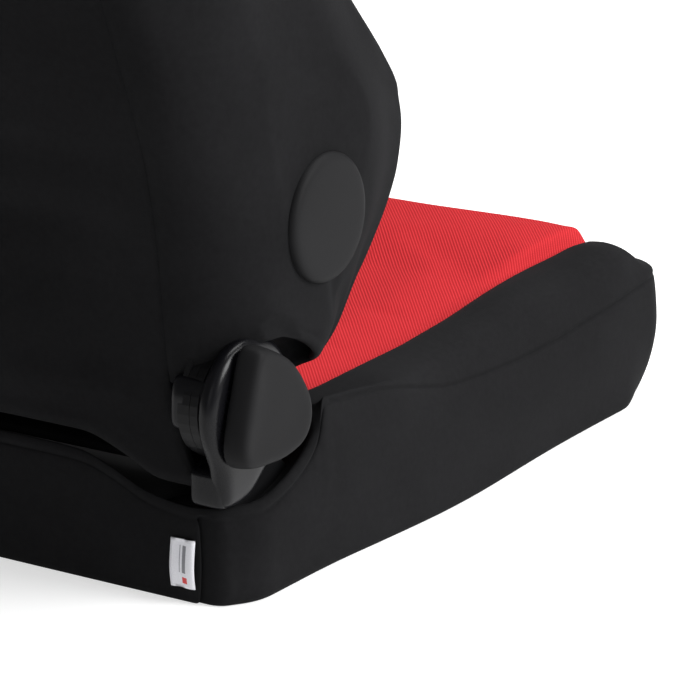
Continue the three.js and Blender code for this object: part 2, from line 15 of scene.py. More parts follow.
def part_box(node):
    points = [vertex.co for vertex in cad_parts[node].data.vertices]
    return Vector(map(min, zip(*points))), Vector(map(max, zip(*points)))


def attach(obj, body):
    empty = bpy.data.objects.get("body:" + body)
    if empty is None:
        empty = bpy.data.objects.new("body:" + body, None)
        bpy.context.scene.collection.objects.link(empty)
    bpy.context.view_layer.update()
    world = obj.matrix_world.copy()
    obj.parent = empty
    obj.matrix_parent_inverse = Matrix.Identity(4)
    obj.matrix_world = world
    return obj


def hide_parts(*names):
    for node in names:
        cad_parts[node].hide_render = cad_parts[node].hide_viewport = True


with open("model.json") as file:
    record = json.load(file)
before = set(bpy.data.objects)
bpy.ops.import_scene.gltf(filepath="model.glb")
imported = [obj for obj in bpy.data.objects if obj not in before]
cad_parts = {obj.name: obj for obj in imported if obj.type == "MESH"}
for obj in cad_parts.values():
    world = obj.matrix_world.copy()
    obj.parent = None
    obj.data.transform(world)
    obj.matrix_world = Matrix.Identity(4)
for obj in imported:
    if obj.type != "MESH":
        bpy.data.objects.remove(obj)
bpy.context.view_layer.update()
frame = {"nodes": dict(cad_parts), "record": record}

MM = 0.001
HALF_W = 250.0
CUSHION_LEN = 600.0
REAR_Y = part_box("cushion_rear_panel")[1].y / MM
PIVOT_U, PIVOT_Z = 28.0, 135.0


# ---- Small mathematics ----
def curve(points):
    """A smooth function through (t, value) points, with no overshoot (a monotone cubic)."""
    t, v = (np.array(c, float) for c in zip(*points))
    h, d = np.diff(t), np.diff(v) / np.diff(t)
    steady = d[:-1] * d[1:] > 0
    before, after = d[:-1][steady], d[1:][steady]
    w1, w2 = (2 * h[1:] + h[:-1])[steady], (h[1:] + 2 * h[:-1])[steady]
    m = np.concatenate([[d[0]], np.zeros(len(steady)), [d[-1]]])
    m[1:-1][steady] = (w1 + w2) / (w1 / before + w2 / after)

    def at(x):
        x = np.clip(np.asarray(x, float), t[0], t[-1])
        i = np.clip(np.searchsorted(t, x, "right") - 1, 0, len(h) - 1)
        s = (x - t[i]) / h[i]
        h00, h10 = (1 + 2 * s) * (1 - s) ** 2, s * (1 - s) ** 2
        h01, h11 = s * s * (3 - 2 * s), s * s * (s - 1)
        return h00 * v[i] + h10 * h[i] * m[i] + h01 * v[i + 1] + h11 * h[i] * m[i + 1]

    return at


def smoothstep(x, low, high):
    """0 up to low, 1 from high, and smooth between them."""
    t = np.clip((np.asarray(x, float) - low) / (high - low), 0, 1)
    return t * t * (3 - 2 * t)


def runs(*spans):
    """Evenly spaced values through (start, stop, count) spans, each without its stop."""
    return np.concatenate([np.linspace(*span, endpoint=False) for span in spans])


def spline_rows(controls, counts):
    """Catmull-Rom through control rows. controls is [row, sample, xyz]; counts is the steps in each span."""
    c = np.asarray(controls, float)
    rows = []
    for i, n in enumerate(counts):
        a, b = c[max(i - 1, 0)], c[i]
        d, e = c[i + 1], c[min(i + 2, len(c) - 1)]
        for k in range(n):
            t = k / n
            linear, square, cube = d - a, 2 * a - 5 * b + 4 * d - e, 3 * b - a - 3 * d + e
            rows.append(0.5 * (2 * b + linear * t + square * t * t + cube * t**3))
    rows.append(c[-1])
    return np.array(rows)


def bump_line(distance, width):
    """A smooth ridge of height 1 along distance 0."""
    return np.exp(-((distance / width) ** 2))


# ---- Mesh helpers ----
def seat_points(x, u, z):
    """Side-view millimetres to metres in the row frame."""
    x, u, z = np.broadcast_arrays(np.asarray(x, float), u, z)
    return np.stack([x, REAR_Y - u, z], axis=-1) * MM


def mesh_object(name, verts, faces):
    data = bpy.data.meshes.new(name)
    data.from_pydata([tuple(v) for v in np.asarray(verts).reshape(-1, 3)], [], faces)
    data.validate()
    obj = bpy.data.objects.new(name, data)
    bpy.context.scene.collection.objects.link(obj)
    data.shade_smooth()
    return obj


def grid_faces(rows, columns, wrap_rows=False, wrap_columns=False, start=0):
    faces = []
    for i in range(rows if wrap_rows else rows - 1):
        a, b = i, (i + 1) % rows
        for j in range(columns if wrap_columns else columns - 1):
            c, d = j, (j + 1) % columns
            corners = (a * columns + c, a * columns + d, b * columns + d, b * columns + c)
            faces.append(tuple(start + k for k in corners))
    return faces


def outward(obj):
    """Turns a closed mesh's faces out."""
    bm = bmesh.new()
    bm.from_mesh(obj.data)
    bmesh.ops.recalc_face_normals(bm, faces=bm.faces)
    if bm.calc_volume(signed=True) < 0:
        bmesh.ops.reverse_faces(bm, faces=bm.faces)
    bm.to_mesh(obj.data)
    bm.free()
    return obj


def sandwich_faces(n, m):
    """The faces of a closed pad made of two n x m grids, the outer one first, joined round their edges."""
    faces = grid_faces(n, m) + [tuple(reversed(f)) for f in grid_faces(n, m, start=n * m)]
    edge = ([(0, j) for j in range(m)] + [(i, m - 1) for i in range(1, n)]
            + [(n - 1, j) for j in range(m - 2, -1, -1)] + [(i, 0) for i in range(n - 2, 0, -1)])
    loop = [i * m + j for i, j in edge]
    return faces + [(a, b, b + n * m, a + n * m) for a, b in zip(loop, loop[1:] + loop[:1])]


def lofted(name, rings):
    """A closed body through closed rings [ring, sample, xyz], its ends closed by a fan."""
    n, m = rings.shape[:2]
    faces = grid_faces(n, m, wrap_columns=True)
    verts = list(rings.reshape(-1, 3))
    for row in (0, n - 1):
        verts.append(rings[row].mean(axis=0))
        hub = len(verts) - 1
        faces += [(hub, row * m + j, row * m + (j + 1) % m) for j in range(m)]
    return outward(mesh_object(name, np.array(verts), faces))


def placed(obj, points):
    """Moves an object's vertices to these points, in metres."""
    obj.data.vertices.foreach_set("co", points.ravel())
    obj.data.update()
    return obj


def apply_modifiers(obj):
    depsgraph = bpy.context.evaluated_depsgraph_get()
    made = bpy.data.meshes.new_from_object(obj.evaluated_get(depsgraph))
    obj.modifiers.clear()
    old = obj.data
    obj.data = made
    bpy.data.meshes.remove(old)
    obj.data.shade_smooth()
    return obj


def subdivided(obj):
    modifier = obj.modifiers.new("subdivide", "SUBSURF")
    modifier.levels = modifier.render_levels = 1
    return apply_modifiers(obj)


def mirrored(obj, name):
    """A copy on the other side of the seat."""
    data = obj.data.copy()
    data.transform(Matrix.Scale(-1, 4, (1, 0, 0)))
    data.flip_normals()
    copy = bpy.data.objects.new(name, data)
    bpy.context.scene.collection.objects.link(copy)
    return copy


SWELL_FRAMES = 20


def inflate(obj, pressure, cap, hold=None):
    """Swells padding by a cloth simulation. cap is the furthest a point may move, in metres. Vertices in
    hold, a boolean array, stay put: seams, and what is tucked out of sight."""
    rest = np.array([v.co for v in obj.data.vertices])
    if hold is not None:
        group = obj.vertex_groups.new(name="hold")
        group.add([int(i) for i in np.nonzero(hold)[0]], 1.0, "REPLACE")
    cloth = obj.modifiers.new("cloth", "CLOTH")
    settings = cloth.settings
    settings.use_pressure = True
    settings.uniform_pressure_force = pressure
    settings.quality = 5
    settings.tension_stiffness = settings.compression_stiffness = 20
    settings.bending_stiffness = 2.0
    settings.effector_weights.gravity = 0
    if hold is not None:
        settings.vertex_group_mass = "hold"
    cloth.collision_settings.use_collision = False
    cloth.point_cache.frame_start, cloth.point_cache.frame_end = 1, SWELL_FRAMES
    scene = bpy.context.scene
    for f in range(1, SWELL_FRAMES + 1):
        scene.frame_set(f)
    depsgraph = bpy.context.evaluated_depsgraph_get()
    swollen = np.array([v.co for v in obj.evaluated_get(depsgraph).data.vertices])
    obj.modifiers.clear()
    scene.frame_set(1)
    move = swollen - rest
    length = np.linalg.norm(move, axis=1, keepdims=True)
    move *= np.minimum(1.0, cap / np.maximum(length, 1e-9))
    obj.vertex_groups.clear()
    return placed(obj, rest + move)


# ---- Materials ----
class Nodes:
    """A short way to write a node tree."""

    def __init__(self, name):
        self.material = bpy.data.materials.new(name)
        self.material.use_nodes = True
        self.tree = self.material.node_tree
        self.shader = self.tree.nodes["Principled BSDF"]
        self.place = self.add("ShaderNodeTexCoord").outputs["Object"]

    def add(self, kind, **values):
        node = self.tree.nodes.new(kind)
        for key, value in values.items():
            if hasattr(node, key):
                setattr(node, key, value)
            else:
                node.inputs[key.replace("_", " ")].default_value = value
        return node

    def link(self, a, b):
        self.tree.links.new(a, b)

    def noise(self, scale, detail=2.0, roughness=0.5):
        node = self.add("ShaderNodeTexNoise", Scale=scale, Detail=detail, Roughness=roughness)
        self.link(self.place, node.inputs["Vector"])
        return node.outputs["Fac"]

    def math(self, operation, a, b=0.0):
        node = self.add("ShaderNodeMath", operation=operation)
        for socket, value in zip(node.inputs, (a, b)):
            if isinstance(value, (int, float)):
                socket.default_value = value
            else:
                self.link(value, socket)
        return node.outputs[0]

    def ramp(self, factor, stops):
        node = self.add("ShaderNodeValToRGB")
        elements = node.color_ramp.elements
        while len(elements) < len(stops):
            elements.new(0.5)
        for element, (position, colour) in zip(elements, stops):
            element.position = position
            element.color = (*colour, 1)
        self.link(factor, node.inputs["Fac"])
        return node.outputs["Color"]

    def remap(self, factor, low, high):
        node = self.add("ShaderNodeMapRange")
        node.inputs["To Min"].default_value = low
        node.inputs["To Max"].default_value = high
        self.link(factor, node.inputs["Value"])
        return node.outputs["Result"]

    def bump(self, height, strength, distance):
        node = self.add("ShaderNodeBump", Strength=strength, Distance=distance)
        self.link(height, node.inputs["Height"])
        self.link(node.outputs["Normal"], self.shader.inputs["Normal"])

    def set(self, **values):
        for key, value in values.items():
            self.shader.inputs[key.replace("_", " ")].default_value = value

    def colour(self, socket):
        self.link(socket, self.shader.inputs["Base Color"])

    def roughness(self, socket):
        self.link(socket, self.shader.inputs["Roughness"])


RIB_PITCH = 0.0022
LOOP_PITCH = 0.62 * RIB_PITCH
# The red's tones: the darkest is painted shade for the rib valleys, the lightest a painted highlight for the
# ridges.
RED_SHADED_VALLEY, RED_MIDDLE, RED_LIT_RIDGE = (0.30, 0.009, 0.012), (0.39, 0.015, 0.019), (0.47, 0.025, 0.031)


def black_suede():
    n = Nodes("black_suede")
    cloud, nap, fibre = n.noise(9, 3), n.noise(240, 4, 0.6), n.noise(2600, 2, 0.7)
    shade = n.math("ADD", n.math("MULTIPLY", cloud, 0.55), n.math("MULTIPLY", nap, 0.45))
    n.colour(n.ramp(shade, [(0.3, (0.0050, 0.0050, 0.0054)), (0.7, (0.0096, 0.0096, 0.0103))]))
    n.roughness(n.remap(fibre, 0.8, 0.98))
    n.set(Sheen_Weight=0.012, Sheen_Roughness=0.35, Sheen_Tint=(0.9, 0.9, 1, 1))
    n.set(Specular_IOR_Level=0.06)
    height = n.math("ADD", n.math("MULTIPLY", fibre, 0.6), n.math("MULTIPLY", nap, 0.4))
    n.bump(height, 0.35, 0.0004)
    return n.material


def corded_mesh(name, run, across):
    """Red corded mesh: ribs that lie along run, a unit vector, with a fine brick of loops across them. Its
    colour is darker in the rib valleys and lighter on the ridges: painted shade and painted highlight.
    """
    n = Nodes(name)

    def along(direction):
        node = n.add("ShaderNodeVectorMath", operation="DOT_PRODUCT")
        n.link(n.place, node.inputs[0])
        node.inputs[1].default_value = direction
        return node.outputs["Value"]

    def wave(turns):
        swing = n.math("COSINE", n.math("MULTIPLY", turns, 2 * math.pi))
        return n.math("ADD", n.math("MULTIPLY", swing, 0.5), 0.5)

    wobble = n.math("MULTIPLY", n.math("SUBTRACT", n.noise(60, 2), 0.5), 0.0006)
    rib_at = n.math("DIVIDE", n.math("ADD", along(across), wobble), RIB_PITCH)
    rib = wave(rib_at)
    offset = n.math("MULTIPLY", n.math("FLOOR", rib_at), 0.5)
    loop = wave(n.math("ADD", n.math("DIVIDE", along(run), LOOP_PITCH), offset))
    crossing = n.math("MULTIPLY", n.math("MULTIPLY", loop, rib), 0.35)
    height = n.math("ADD", n.math("MULTIPLY", rib, 0.75), crossing)
    cloud = n.math("MULTIPLY", n.math("SUBTRACT", n.noise(14, 3), 0.5), 0.25)
    fuzz = n.math("MULTIPLY", n.math("SUBTRACT", n.noise(1800, 2), 0.5), 0.3)
    shade = n.math("ADD", height, n.math("ADD", cloud, fuzz))
    # The colour follows the rib height, so the valleys carry painted shade and the ridges a painted
    # highlight; cloud and fuzz add random tone.
    n.colour(n.ramp(shade, [(0.0, RED_SHADED_VALLEY), (0.45, RED_MIDDLE), (1.0, RED_LIT_RIDGE)]))
    n.roughness(n.remap(height, 0.85, 0.6))
    n.set(Sheen_Weight=0.04, Sheen_Roughness=0.4, Sheen_Tint=(1, 0.35, 0.35, 1), Specular_IOR_Level=0.1)
    n.bump(height, 0.7, 0.0006)
    return n.material


def moulded_plastic(name, colour, low, high, grain, shine):
    """Black moulded plastic: a fine spark-eroded grain, with slightly polished patches."""
    n = Nodes(name)
    patch, pits = n.noise(22, 3), n.noise(1500, 3, 0.6)
    bright = [c * 1.35 for c in colour]
    n.colour(n.ramp(patch, [(0.25, colour), (0.75, bright)]))
    wear = n.math("ADD", n.math("MULTIPLY", patch, 0.6), n.math("MULTIPLY", pits, 0.4))
    n.roughness(n.remap(wear, low, high))
    n.set(Specular_IOR_Level=shine)
    n.bump(pits, grain, 0.0003)
    return n.material


def metal(name, colour, roughness, metallic=1.0, shine=0.5):
    """Metal, bare or plated, or painted black where metallic is low; its grain is fine and patchy."""
    n = Nodes(name)
    patch, fine = n.noise(30, 4), n.noise(700, 3)
    n.colour(n.ramp(patch, [(0.2, [c * 0.82 for c in colour]), (0.8, [min(1, c * 1.1) for c in colour])]))
    grain = n.math("ADD", n.math("MULTIPLY", patch, 0.5), n.math("MULTIPLY", fine, 0.5))
    n.roughness(n.remap(grain, roughness - 0.1, roughness + 0.12))
    n.set(Metallic=metallic, Specular_IOR_Level=shine)
    n.bump(fine, 0.12, 0.0002)
    return n.material


def foam_lining():
    n = Nodes("foam_lining")
    cells, cloud = n.noise(900, 4, 0.7), n.noise(12, 3)
    shade = n.math("ADD", n.math("MULTIPLY", cells, 0.5), n.math("MULTIPLY", cloud, 0.5))
    n.colour(n.ramp(shade, [(0.3, (0.007, 0.007, 0.008)), (0.7, (0.016, 0.016, 0.017))]))
    n.roughness(n.remap(cells, 0.85, 1.0))
    n.bump(cells, 0.5, 0.0006)
    return n.material


def woven_label(centre):
    """White satin tape with plain printed bars, which stand for its print."""
    n = Nodes("woven_label")
    split = n.add("ShaderNodeSeparateXYZ")
    n.link(n.place, split.inputs[0])
    weave = n.noise(3000, 2)
    tall = n.math("SUBTRACT", split.outputs["Z"], centre[2])
    wide = n.math("SUBTRACT", split.outputs["X"], centre[0])

    def band(value, middle, half):
        """1 within half of the middle, in metres on the label, and 0 outside."""
        return n.math("LESS_THAN", n.math("ABSOLUTE", n.math("SUBTRACT", value, middle)), half)

    grey = n.math("MULTIPLY", band(wide, 0.0005, 0.0016), band(tall, 0.0032, 0.0095))
    thin = n.math("MULTIPLY", band(wide, 0.0042, 0.0004), band(tall, 0.0032, 0.0095))
    red = n.math("MULTIPLY", band(wide, 0.0, 0.0022), band(tall, -0.0115, 0.0022))
    base = n.ramp(weave, [(0.3, (0.62, 0.62, 0.66)), (0.7, (0.78, 0.78, 0.82))])
    for mask, ink in ((grey, (0.2, 0.2, 0.22)), (thin, (0.3, 0.3, 0.33)), (red, (0.6, 0.03, 0.03))):
        mix = n.add("ShaderNodeMix", data_type="RGBA")
        n.link(mask, mix.inputs["Factor"])
        n.link(base, mix.inputs[6])
        mix.inputs[7].default_value = (*ink, 1)
        base = mix.outputs[2]
    n.colour(base)
    n.roughness(n.remap(weave, 0.4, 0.65))
    n.bump(weave, 0.3, 0.0002)
    return n.material


SUEDE = black_suede()
RIB_RUN, RIB_ACROSS = (0.65, -0.76, 0.0), (0.76, 0.65, 0.0)
LEAN = math.radians(20)
UP_BACK = (0.0, math.sin(LEAN), math.cos(LEAN))
CUSHION_MESH = corded_mesh("red_mesh_cushion", RIB_RUN, RIB_ACROSS)
BACK_RUN = tuple(0.65 * a + 0.76 * b for a, b in zip((1, 0, 0), UP_BACK))
BACK_ACROSS = tuple(0.76 * a - 0.65 * b for a, b in zip((1, 0, 0), UP_BACK))
BACK_MESH = corded_mesh("red_mesh_back", BACK_RUN, BACK_ACROSS)
GRAINED = moulded_plastic("grained_plastic", [0.0074, 0.0074, 0.0079], 0.5, 0.68, 0.3, 0.075)
GLOSS = moulded_plastic("gloss_plastic", [0.0030, 0.0030, 0.0038], 0.22, 0.34, 0.08, 0.18)
BLACK_STEEL = metal("black_steel", [0.006, 0.006, 0.0066], 0.42, metallic=0.1, shine=0.15)
ZINC = metal("zinc_steel", [0.42, 0.43, 0.44], 0.36)
CHROME = metal("chrome_tube", [0.62, 0.62, 0.64], 0.16)
WIRE = metal("spring_wire", [0.3, 0.31, 0.32], 0.4)
FOAM = foam_lining()


def finish_piece(obj, body, material, replaced=()):
    """Gives a piece its material and its body, and hides the CAD nodes it stands for."""
    obj.data.materials.clear()
    obj.data.materials.append(material)
    obj.data.shade_smooth()
    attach(obj, body)
    if replaced:
        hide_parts(*replaced)
    return obj


# ---- Cushion cover: one black ring round the seat ----
REAR_R, FRONT_R = 40.0, 41.0
INSERT_HALF, INSERT_FRONT, INSERT_R = 188.0, 588.0, 19.0
LIP_HALF, LIP_U = 178.0, 10
CREASE_X, CREASE_U = 222.0, 1.8

# Heights along u: the side's seam, the bolster's crown, the insert's edge and the notch's rim.
SIDE_SEAM = curve([(94, 119), (129, 115), (167, 110), (206, 102), (237, 94), (270, 87), (328, 83), (370, 82),
                   (414, 83), (459, 86), (504, 89), (542, 93), (600, 95)])
CROWN = curve([(100, 117), (130, 113.5), (160, 112), (200, 112.5), (280, 112.5), (340, 115.5), (376, 119.5),
               (412, 122), (471, 121), (515, 122.5), (550, 123.5), (575, 122), (600, 117)])
INSERT_EDGE = curve([(60, 97), (130, 98), (174, 97), (257, 97), (338, 101), (424, 110), (468, 112.5),
                     (513, 113.5), (545, 115), (566, 114.5), (578, 111), (588, 106)])
NOTCH_EDGE = curve([(0, 69), (36, 69.5), (56, 73.5), (72, 79.5), (86, 88), (95, 97), (100.5, 107),
                    (104, 118)])
# The rear rim's height, by the distance from the middle.
REAR_EDGE = curve([(0, 91), (95, 91), (124, 90), (148, 83), (181, 70), (214, 66), (250, 66)])


def insert_half(u):
    """Half the insert's width, which grows a little towards the backrest."""
    return INSERT_HALF + 6 * (1 - smoothstep(u, 120, 320))


def perimeter():
    """Stations round the +X half of the cushion, from the rear's middle to the front's: x and u on the
    cover's outer line, then x and u on the inner line that its section runs towards."""
    rear_half, front_half, front_u = HALF_W - REAR_R, HALF_W - FRONT_R, CUSHION_LEN - FRONT_R
    nose_half, nose_u = INSERT_HALF - INSERT_R, INSERT_FRONT - INSERT_R
    stations = []
    for f in runs((0, 0.9, 24), (0.9, 1, 14)):
        stations.append((f * rear_half, 0, f * LIP_HALF, LIP_U))
    for f in runs((0, 0.3, 16), (0.3, 1, 17)):
        a = f * math.pi / 2
        x, u = rear_half + REAR_R * math.sin(a), REAR_R - REAR_R * math.cos(a)
        stations.append((x, u, LIP_HALF + 10 * min(1, 2 * f), LIP_U + 30 * max(0, 2 * f - 1)))
    for u in runs((REAR_R, 80, 8), (80, 125, 24), (125, front_u, 62)):
        stations.append((HALF_W, u, insert_half(u), u))
    for f in runs((0, 1, 26)):
        c, d = math.cos(f * math.pi / 2), math.sin(f * math.pi / 2)
        stations.append((front_half + FRONT_R * c, front_u + FRONT_R * d,
                         nose_half + INSERT_R * c, nose_u + INSERT_R * d))
    for f in np.linspace(0, 1, 30):
        stations.append(((1 - f) * front_half, CUSHION_LEN, (1 - f) * nose_half, INSERT_FRONT))
    return np.array(stations)


def cushion_profile(x, u, qx, qu):
    """The cover's section at one station, from its hem up to the insert and back inside, as (inset, z).
    It is a blend of three: the notch under the hinge, which the rear has too, the side and the front."""
    span = math.hypot(x - qx, u - qu)
    seam, crown, edge = float(SIDE_SEAM(u)), float(CROWN(u)), float(INSERT_EDGE(qu))
    side = [(15, 16), (9, 3), (4.5, 0.4), (0.2, 1.6), (-1.6, 24), (-2.8, 0.55 * seam), (-1.2, seam - 8),
            (1.4, seam), (2.4, seam + 5), (8, seam + 0.68 * (crown - seam)), (0.34 * span, crown - 2),
            (0.62 * span, crown), (span - 7, edge + 6), (span, edge), (span + 1, edge - 12),
            (span - 8, edge - 22), (17, edge - 24)]
    front = [(58, 16), (52, 3), (45, 0.8), (24, 4), (8, 20), (-1, 52), (0.4, 84), (3.0, 96), (4.2, 100),
             (0.34 * span, edge - 6.5), (0.52 * span, edge - 2.5), (0.7 * span, edge - 0.5),
             (0.9 * span, edge), (span, edge), (span + 1, edge - 12), (span - 2, edge - 24),
             (0.8 * span, 80)]
    rim = float(NOTCH_EDGE(u)) if u > 0 else float(REAR_EDGE(abs(x)))
    if 0 < u < REAR_R:
        rim += (float(REAR_EDGE(abs(x))) - rim) * (1 - u / REAR_R)
    floor_at, floor_z = (58.0, 57.0) if u > 10 else (9.5, rim - 14)
    notch = [(12, 16), (8, 3), (4.0, 0.4), (-1.0, 1.6), (-2.8, 20), (-3.0, 0.5 * rim), (-1.4, rim - 12),
             (0.9, rim - 6.5), (-0.2, rim - 3.5), (1.6, rim + 0.4), (4.6, rim + 1.2), (7.6, rim - 2),
             (9, rim - 8), (floor_at, floor_z), (floor_at, floor_z - 4), (0.6 * floor_at + 3, floor_z - 8),
             (9.4, floor_z - 9)]
    bulge = 9.0 * math.exp(-(((u - 265) / 120) ** 2)) if x > HALF_W - 5 else 0.0
    side[:8] = [(inset - bulge * (1 - (z / (seam + 1)) ** 2), z) for inset, z in side[:8]]
    sharp = float(smoothstep(u, 97, 107))
    to_side = np.full((len(side), 2), sharp)
    to_side[:8, 0] = float(smoothstep(u, 60, 170))
    to_front = float(smoothstep(u, 525, 592)) if x > HALF_W - FRONT_R else 1.0 if u > 300 else 0.0
    section = np.array(notch) * (1 - to_side) + np.array(side) * to_side
    return section * (1 - to_front) + np.array(front) * to_front


def cushion_cover():
    """The ring: a spline through the section's points at every station, with its creases and its seam."""
    half = perimeter()
    stations = np.concatenate([half, (half * [-1, 1, -1, 1])[-2:0:-1]])
    sections = np.array([cushion_profile(abs(x), u, abs(qx), qu) for x, u, qx, qu in stations])
    outer, inner = stations[:, :2], stations[:, 2:]
    inwards = inner - outer
    inwards /= np.linalg.norm(inwards, axis=1, keepdims=True)
    controls = []
    for row in range(sections.shape[1]):
        inset, z = sections[:, row, 0:1], sections[:, row, 1]
        plan = outer + inwards * inset
        controls.append(np.stack([plan[:, 0], plan[:, 1], z], axis=1))
    counts = [2, 2, 2, 3, 4, 5, 4, 2, 3, 4, 4, 4, 4, 2, 2, 2]
    rows = spline_rows(controls, counts)
    steps = np.cumsum([0] + counts)
    seam_row = steps[7]
    from_seam = np.abs(np.arange(len(rows)) - seam_row)
    past_crease = np.abs(outer[:, 0]) - CREASE_X
    from_crease = np.sign(past_crease) * np.hypot(past_crease, outer[:, 1] - CREASE_U)
    crease = 7.0 * bump_line(from_crease, 3.0) - 2.8 * bump_line(from_crease - 10, 8)
    crease = np.where(outer[:, 1] < 60, crease - 0.6 * bump_line(from_crease + 6, 4), 0.0)
    groove = crease[None, :] * (np.arange(len(rows)) < steps[8])[:, None]
    stitched = 1.3 * (from_seam == 0) - 0.6 * (from_seam == 1)
    groove = groove + stitched[:, None] * (outer[:, 1] > 110)[None, :]
    rows[:, :, :2] += inwards[None] * groove[..., None]
    verts = seat_points(rows[..., 0], rows[..., 1], rows[..., 2])
    n, m = verts.shape[:2]
    faces = grid_faces(n, m, wrap_rows=True, wrap_columns=True)
    obj = outward(mesh_object("cushion_cover", verts, faces))
    held = np.zeros((n, m), bool)
    held[: steps[4]] = held[steps[13]:] = True
    held[seam_row - 1: seam_row + 2] = True
    held[:, outer[:, 1] < 112] = True
    inflate(obj, 1.2, 0.004, held.ravel())
    return subdivided(obj)


COVERED = ["cushion_bolster_right", "cushion_bolster_left", "cushion_front_roll", "cushion_rear_panel"]
finish_piece(cushion_cover(), "seat_base", SUEDE, COVERED)


# ---- Cushion insert ----
INSERT_REAR = 71.0


def cushion_insert():
    """The red centre: a thin crowned pad that runs over the cushion's front crest."""
    across = np.concatenate([[-1], -1 + 0.06 * np.linspace(0.2, 1, 5), np.linspace(-0.92, 0.92, 61),
                             1 - 0.06 * np.linspace(1, 0.2, 5), [1]])
    lengths = np.concatenate([[INSERT_REAR], np.linspace(72, 90, 5), np.linspace(98, 520, 70),
                              np.linspace(525, INSERT_FRONT - 0.5, 26)])
    into_turn = lengths - INSERT_FRONT + INSERT_R
    turned = INSERT_HALF - INSERT_R + np.sqrt(np.maximum(INSERT_R**2 - into_turn**2, 0))
    half = np.where(into_turn > 0, turned, insert_half(lengths)) + 0.6
    x = across[None, :] * half[:, None]
    u = np.repeat(lengths[:, None], len(across), axis=1)
    from_edge = half[:, None] - np.abs(x)
    ends = np.minimum(lengths - INSERT_REAR, INSERT_FRONT - lengths)[:, None]
    to_nose = smoothstep(u, 425, 505)
    rise = np.minimum(smoothstep(from_edge, 0, 26 - 13 * to_nose), smoothstep(ends, 0, 13) + 0.0 * x)
    dish = -5.0 * (1 - (x / INSERT_HALF) ** 2) * smoothstep(u, 80, 200) * (1 - smoothstep(u, 420, 530))
    z = INSERT_EDGE(u) - 3.0 + (5.0 + 9.5 * to_nose) * rise + dish
    top = seat_points(x, u, z)
    bottom = seat_points(x * 0.985, u, z - 16)
    n, m = x.shape
    verts = np.concatenate([top.reshape(-1, 3), bottom.reshape(-1, 3)])
    obj = outward(mesh_object("cushion_centre", verts, sandwich_faces(n, m)))
    held = np.ones((2, n, m), bool)
    held[0, 2:-2, 2:-2] = False
    inflate(obj, 1.5, 0.004, held.ravel())
    return subdivided(obj)


finish_piece(cushion_insert(), "seat_base", CUSHION_MESH, ["cushion_insert"])


def cushion_tongue():
    """The pad's rear end, which fills the gap under the backrest, and its underside."""
    top = [(10.5, 60), (12, 65.5), (30, 67), (58, 70.5), (66, 78), (70, 88), (76, 84), (300, 80), (500, 98),
           (560, 108)]
    under = [(560, 84), (505, 73), (378, 67), (110, 62.5), (40, 53), (14, 53)]
    loop = np.array(top + under)
    t = np.linspace(-1, 1, 40)
    half = 184.0 + 1.5 * np.sqrt(np.maximum(0, 1 - np.abs(t) ** 8))
    rings = np.array([seat_points(s * h, loop[:, 0], loop[:, 1]) for s, h in zip(t, half)])
    return subdivided(lofted("cushion_pad", rings))


finish_piece(cushion_tongue(), "seat_base", FOAM, ["cushion_foam"])


def lining():
    """The cover's floor in the corner below the hinge."""
    loop = np.array([(7, 62), (12, 58.5), (64, 58), (66, 60), (40, 60.8), (14, 61.5), (9, 66)])
    rings = []
    for x in np.linspace(181, 224, 12):
        rings.append(seat_points(x, loop[:, 0], loop[:, 1] + 0.6 * math.sin(x / 5)))
    return subdivided(lofted("corner_lining_left", np.array(rings)))


left_lining = lining()
for piece in (left_lining, mirrored(left_lining, "corner_lining_right")):
    finish_piece(piece, "seat_base", SUEDE)


# ---- Backrest ----
# The side view: u along z of the rear face and of the bolster's front edge, then half the width along z.
REAR_LINE = curve([(70, 0), (147, 0), (199, -5), (248, -11), (297, -21), (343, -36), (381, -51), (420, -66),
                   (500, -97), (590, -131), (690, -165), (720, -176)])
FRONT_LINE = curve([(138, 127), (142, 131), (157, 150), (183, 173), (210, 199), (234, 218), (256, 229.5),
                    (285, 235), (310, 230.5), (337, 213), (365, 190), (392, 169), (445, 121), (500, 82),
                    (560, 52), (600, 26), (630, -4), (655, -42), (672, -80), (684, -118), (690, -140)])
SHOULDER = curve([(70, 250), (300, 250), (420, 245), (520, 245), (590, 246), (630, 239), (650, 228),
                  (664, 212)])
# The outer side's lower edge, an arch over the knob, by the share of the depth from the rear face.
BACK_BOTTOM = curve([(0, 150), (0.03, 155), (0.12, 165), (0.24, 177), (0.34, 176.5), (0.456, 171.5),
                     (0.56, 165), (0.664, 157), (0.78, 149), (0.88, 144.5), (1, 142)])
BACK_TOP = 662.0
SEAM_X, WELL_X, WELL = 195.0, 168.0, 104.0
NOSE_X, NOSE_R = 221, 10
HEM = 7.5
KNOB_CLEAR_X = 245.4

# A bolster's section has this many points on its outer side, its nose, its inner face and its tuck.
OUTER_N, NOSE_N, INNER_N, TUCK_N = 46, 10, 16, 4
SECTION_N = OUTER_N + NOSE_N + INNER_N + TUCK_N
NOSE = slice(OUTER_N, OUTER_N + NOSE_N)
INNER = slice(NOSE.stop, NOSE.stop + INNER_N)
OUTER_G = np.concatenate([runs((0, 0.16, 14)), np.linspace(0.16, 0.97, OUTER_N - 14)])
SECTION_G = np.concatenate([OUTER_G, np.ones(SECTION_N - OUTER_N)])


